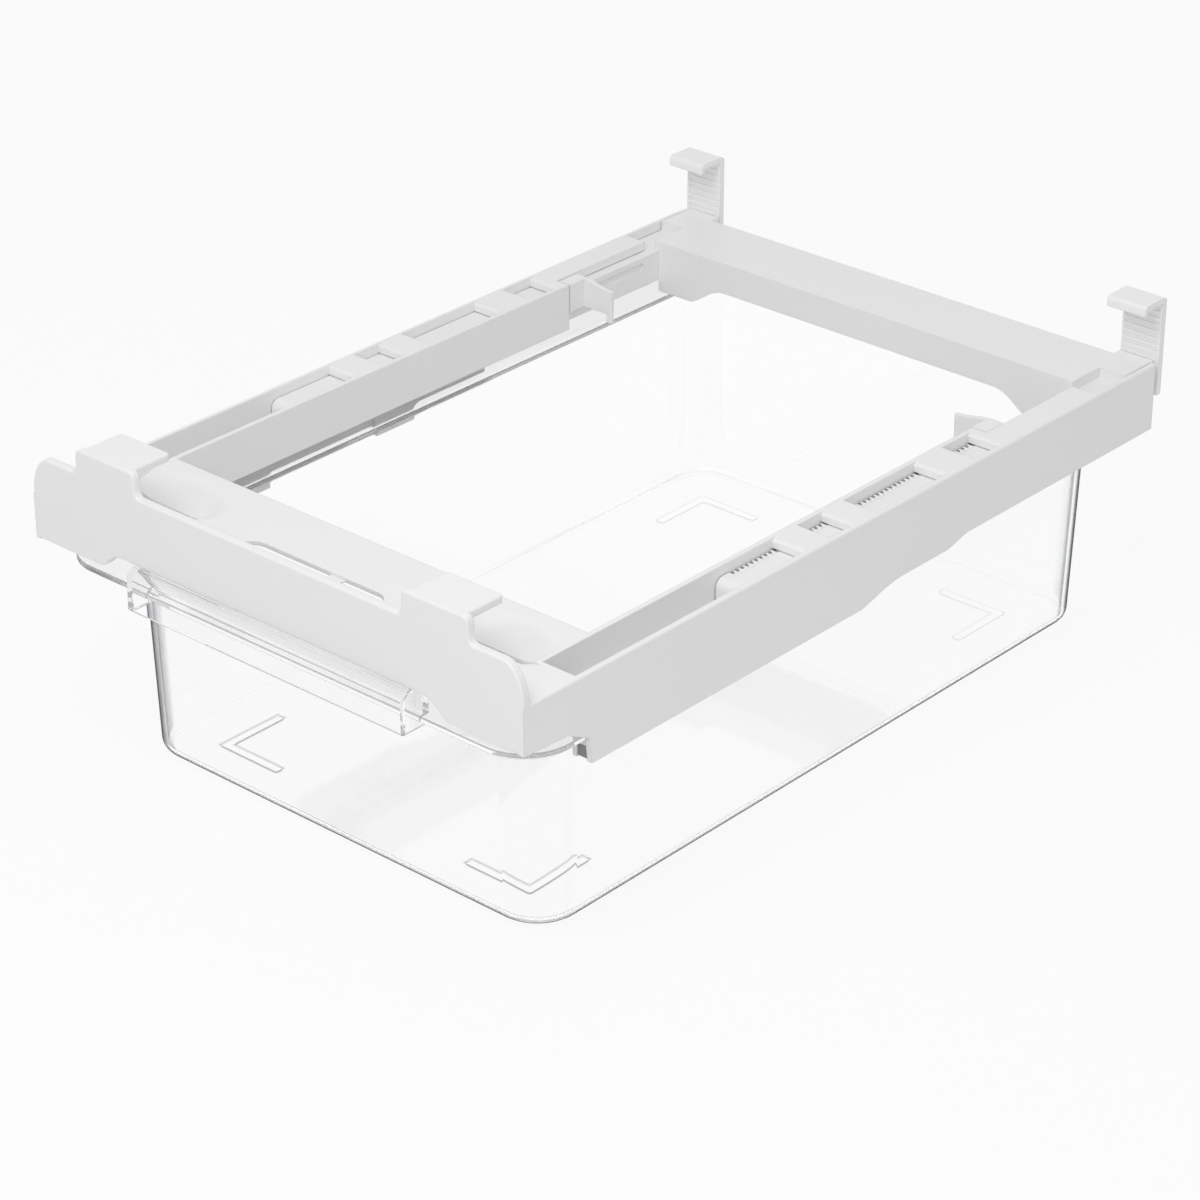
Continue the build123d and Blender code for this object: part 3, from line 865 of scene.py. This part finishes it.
@dataclass(frozen=True)
class TubShape:
    """The tub and its flange. Fronts and rears are measured from the front panel."""

    middle_y: float = -155.6 * MM
    top_half: float = 89.5 * MM
    top_front: float = 21.5 * MM
    top_rear: float = 303.5 * MM
    corner: float = 18 * MM
    lean: float = 2.5 * MM
    top: float = 74.4 * MM
    bottom: float = 0.8 * MM
    wall: float = 1.8 * MM
    edge: float = 4 * MM
    flange_half: float = 100.8 * MM
    flange_front: float = 4.5 * MM
    flange_rear: float = 307.5 * MM
    flange_corner: float = 17 * MM
    flange_plate: float = 2 * MM
    rim: float = 0.5 * MM
    steps: int = 28
    arc: int = 6

    def wall_ring(self, level: float, inset: float) -> Ring:
        """Returns the wall's ring at a level.

        Args:
            level: Height in metres.
            inset: Distance inside the tub's outer face.

        Returns:
            The ring.
        """
        shift = self.lean * (self.top - level) / (self.top - self.bottom) + inset
        return Ring(self.top_half - shift, self.top_front + shift + self.middle_y,
                    self.top_rear - shift + self.middle_y, self.corner - shift, level)

    def flange_ring(self, level: float, inset: float) -> Ring:
        """Returns the flange's ring at a level, inset from its edge."""
        return Ring(self.flange_half - inset, self.flange_front + inset + self.middle_y,
                    self.flange_rear - inset + self.middle_y, self.flange_corner - inset, level)

    def rings(self) -> list[Ring]:
        """Lists the skin's rings from the middle of the underside, over the rim, to the inside.

        Returns:
            The rings in order.
        """
        quarter = [math.pi / 2 * i / self.arc for i in range(self.arc + 1)]
        under = self.top - self.flange_plate
        found = [self.wall_ring(self.bottom, self.corner / 2)]
        for a in quarter:
            found.append(self.wall_ring(self.bottom + self.edge * (1 - math.cos(a)),
                                        self.edge * (1 - math.sin(a))))
        found.append(self.wall_ring(under - self.rim, 0))
        found += [self.wall_ring(under - self.rim * (1 - math.sin(a)),
                                 -self.rim * (1 - math.cos(a))) for a in quarter[1:]]
        found.append(self.flange_ring(under, self.rim))
        found += [self.flange_ring(under + self.rim * (1 - math.cos(a)),
                                   self.rim * (1 - math.sin(a))) for a in quarter[1:]]
        found += [self.flange_ring(self.top - self.rim * (1 - math.sin(a)),
                                   self.rim * (1 - math.cos(a))) for a in quarter]
        found += [self.wall_ring(self.top - self.rim * (1 - math.cos(a)),
                                 self.wall - self.rim * (1 - math.sin(a))) for a in quarter]
        floor = self.bottom + self.wall
        inner_edge = self.edge - self.wall
        found += [self.wall_ring(floor + inner_edge * (1 - math.sin(a)),
                                 self.wall + inner_edge * (1 - math.cos(a))) for a in quarter]
        found.append(self.wall_ring(floor, self.corner / 2))
        return found

    def build(self) -> bpy.types.Object:
        """Makes the tub as one closed skin.

        Returns:
            The tub.
        """
        rings = [ring.points(self.steps) for ring in self.rings()]
        size = len(rings[0])
        points = [point for ring in rings for point in ring]
        faces = []
        for r in range(len(rings) - 1):
            for i in range(size):
                j = (i + 1) % size
                faces.append((r * size + i, r * size + j, (r + 1) * size + j, (r + 1) * size + i))
        faces.append(tuple(reversed(range(size))))
        faces.append(tuple(range((len(rings) - 1) * size, len(rings) * size)))
        return solid_item("clear_drawer", points, faces)


@dataclass(frozen=True)
class HandleShape:
    """The pull lip in front of the tub: a rounded shell, open underneath."""

    half: float = 58.5 * MM
    front: float = -158.6 * MM
    rear: float = -147.6 * MM
    top: float = 85.0 * MM
    low: float = 71.0 * MM
    flange_under: float = 72.6 * MM
    lap: float = 0.05 * MM
    wall: float = 1.8 * MM
    round_front: float = 4 * MM
    round_rear: float = 1.2 * MM
    round_ends: float = 1.3 * MM
    round_low: float = 0.4 * MM
    round_inside: float = 0.6 * MM

    def fix_to(self, tub: bpy.types.Object) -> None:
        """Joins the lip to the tub.

        Args:
            tub: The tub's skin.
        """
        behind = self.rear - self.wall
        shell = swept("lip", rounded([
            (self.front, self.low, self.round_low), (self.front, self.top, self.round_front),
            (self.rear, self.top, self.round_rear), (self.rear, self.flange_under, 0),
            (behind - self.lap, self.flange_under, 0),
            (behind - self.lap, self.low, self.round_low)]),
            -self.half, self.half, Run.ACROSS)
        soften(shell, self.round_ends)
        room = swept("room", rounded([
            (self.front + self.wall, self.low - self.wall, 0),
            (self.front + self.wall, self.top - self.wall, self.round_front - self.wall),
            (behind, self.top - self.wall, self.round_inside),
            (behind, self.low - self.wall, 0)]),
            -self.half + self.wall, self.half - self.wall, Run.ACROSS)
        join(shell, room, Joining.CUT)
        join(tub, shell, Joining.ADD)


@dataclass(frozen=True)
class FeetShape:
    """The four L-shaped feet under the tub."""

    corner_x: float = 65.8 * MM
    front: float = -113.6 * MM
    rear: float = 123.4 * MM
    arm: float = 23 * MM
    half: float = 1.6 * MM
    height: float = 1.2 * MM
    round_ends: float = 1.1 * MM

    def fix_to(self, tub: bpy.types.Object) -> None:
        """Joins the feet to the tub.

        Args:
            tub: The tub's skin.
        """
        for x_side in (-1, 1):
            for y_corner, y_side in ((self.front, 1), (self.rear, -1)):
                outer, inner, end = self.half, -self.half, -self.arm - self.half
                plan = [(outer, outer), (end, outer), (end, inner), (inner, inner),
                        (inner, end), (outer, end)]
                outline = rounded([(x_side * (self.corner_x + x), y_corner - y_side * y,
                                    self.round_ends) for x, y in plan])
                foot = swept("foot", outline, 0, self.height, Run.UPWARDS)
                join(tub, foot, Joining.ADD)


@dataclass
class ClearDrawer:
    """The clear drawer that slides on the frame's ledges."""

    finish: ClearPlastic = ClearPlastic("clear_plastic")
    tub: TubShape = TubShape()
    lip: HandleShape = HandleShape()
    feet: FeetShape = FeetShape()
    smooth_below: float = math.radians(40)

    def build(self) -> None:
        """Builds the drawer's smooth skin in place of its CAD piece."""
        skin = self.tub.build()
        self.lip.fix_to(skin)
        self.feet.fix_to(skin)
        shape = skin.data
        shape.polygons.foreach_set("use_smooth", [True] * len(shape.polygons))
        shape.set_sharp_from_angle(angle=self.smooth_below)
        weighted = skin.modifiers.new("weighted", "WEIGHTED_NORMAL")
        weighted.keep_sharp = True
        bake(skin)
        skin.data.materials.clear()
        skin.data.materials.append(self.finish.build())
        LOG.info("drawer skin: %d faces", len(skin.data.polygons))
        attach(skin, "drawer")
        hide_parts("drawer")


# ---- The studio ---------------------------------------------------------------------------
@dataclass
class Studio:
    """White floor, soft light and the camera of the picture."""

    white: tuple[float, float, float, float] = (1.0, 1.0, 1.0, 1.0)
    ambient: float = 0.585
    paper: tuple[float, float, float, float] = (0.9, 0.9, 0.9, 1.0)
    paper_seen_white: float = 0.88
    floor_size: float = 6.0
    lamp_place: tuple[float, float, float] = (0.2, -0.48, 0.8)
    lamp_target: tuple[float, float, float] = (0.0, 0.0, 0.06)
    lamp_size: float = 0.5
    lamp_power: float = 2.7
    camera_place: tuple[float, float, float] = (0.7327, -0.8334, 0.6202)
    camera_turn: tuple[float, float, float] = (62.081, 0.0, 41.572)
    camera_lens: float = 114.67
    camera_sensor: float = 36.0

    def white_where_seen(self, bench: NodeBench, plain: bpy.types.Node, white: bpy.types.Node,
                         share: float) -> bpy.types.NodeSocket:
        """Mixes plain white in for the rays that show the background.

        Args:
            bench: The bench of the floor's or the world's tree.
            plain: The shader that lights the object.
            white: The shader that gives plain white.
            share: How much of what the camera sees is plain white.

        Returns:
            The mixed shader's output.
        """
        path = bench.add("ShaderNodeLightPath").outputs
        seen = bench.number("MULTIPLY", path["Is Camera Ray"], share)
        mirrored = bench.number("MAXIMUM", seen, path["Is Glossy Ray"])
        shown = bench.number("MAXIMUM", mirrored, path["Is Transmission Ray"])
        mixer = bench.add("ShaderNodeMixShader", in_Fac=shown)
        bench.wire(plain.outputs[0], mixer.inputs[1])
        bench.wire(white.outputs[0], mixer.inputs[2])
        return mixer.outputs[0]

    def world(self) -> None:
        """Sets the even light that comes from all round."""
        world = bpy.data.worlds.new("studio")
        world.use_nodes = True
        world.node_tree.nodes.clear()
        bench = NodeBench(world.node_tree)
        glow = bench.add("ShaderNodeBackground", in_Color=self.white, in_Strength=self.ambient)
        white = bench.add("ShaderNodeBackground", in_Color=self.white, in_Strength=1.0)
        bench.add("ShaderNodeOutputWorld",
                  in_Surface=self.white_where_seen(bench, glow, white, 1.0))
        bpy.context.scene.world = world

    def floor(self) -> None:
        """Lays the white floor."""
        half = self.floor_size / 2
        mesh = bpy.data.meshes.new("studio_floor")
        mesh.from_pydata([(-half, -half, 0), (half, -half, 0), (half, half, 0), (-half, half, 0)],
                         [], [(0, 1, 2, 3)])
        floor = bpy.data.objects.new("studio_floor", mesh)
        bpy.context.scene.collection.objects.link(floor)
        material, bench = blank_material("studio_floor")
        paper = bench.add("ShaderNodeBsdfDiffuse", in_Color=self.paper)
        white = bench.add("ShaderNodeEmission", in_Color=self.white, in_Strength=1.0)
        bench.add("ShaderNodeOutputMaterial", in_Surface=self.white_where_seen(
            bench, paper, white, self.paper_seen_white))
        mesh.materials.append(material)

    def lamp(self) -> None:
        """Hangs the soft lamp that points at the organizer."""
        data = bpy.data.lights.new("front_softbox", "AREA")
        data.size = self.lamp_size
        data.energy = self.lamp_power
        lamp = bpy.data.objects.new("front_softbox", data)
        lamp.location = self.lamp_place
        towards = Vector(self.lamp_target) - Vector(self.lamp_place)
        lamp.rotation_euler = towards.to_track_quat("-Z", "Y").to_euler()
        bpy.context.scene.collection.objects.link(lamp)

    def camera(self) -> None:
        """Sets the camera at the photograph's angle."""
        data = bpy.data.cameras.new("camera")
        data.lens = self.camera_lens
        data.sensor_width = self.camera_sensor
        camera = bpy.data.objects.new("camera", data)
        camera.location = self.camera_place
        camera.rotation_euler = [math.radians(angle) for angle in self.camera_turn]
        bpy.context.scene.collection.objects.link(camera)
        bpy.context.scene.camera = camera

    def build(self) -> None:
        """Sets up the whole studio."""
        self.world()
        self.floor()
        self.lamp()
        self.camera()
        bpy.context.scene.view_settings.view_transform = "Standard"


def main() -> None:
    """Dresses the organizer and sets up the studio."""
    logging.basicConfig(level=logging.INFO, format="%(message)s")
    ClipOnFrame().build()
    ClearDrawer().build()
    Studio().build()


if __name__ == "__main__":
    main()
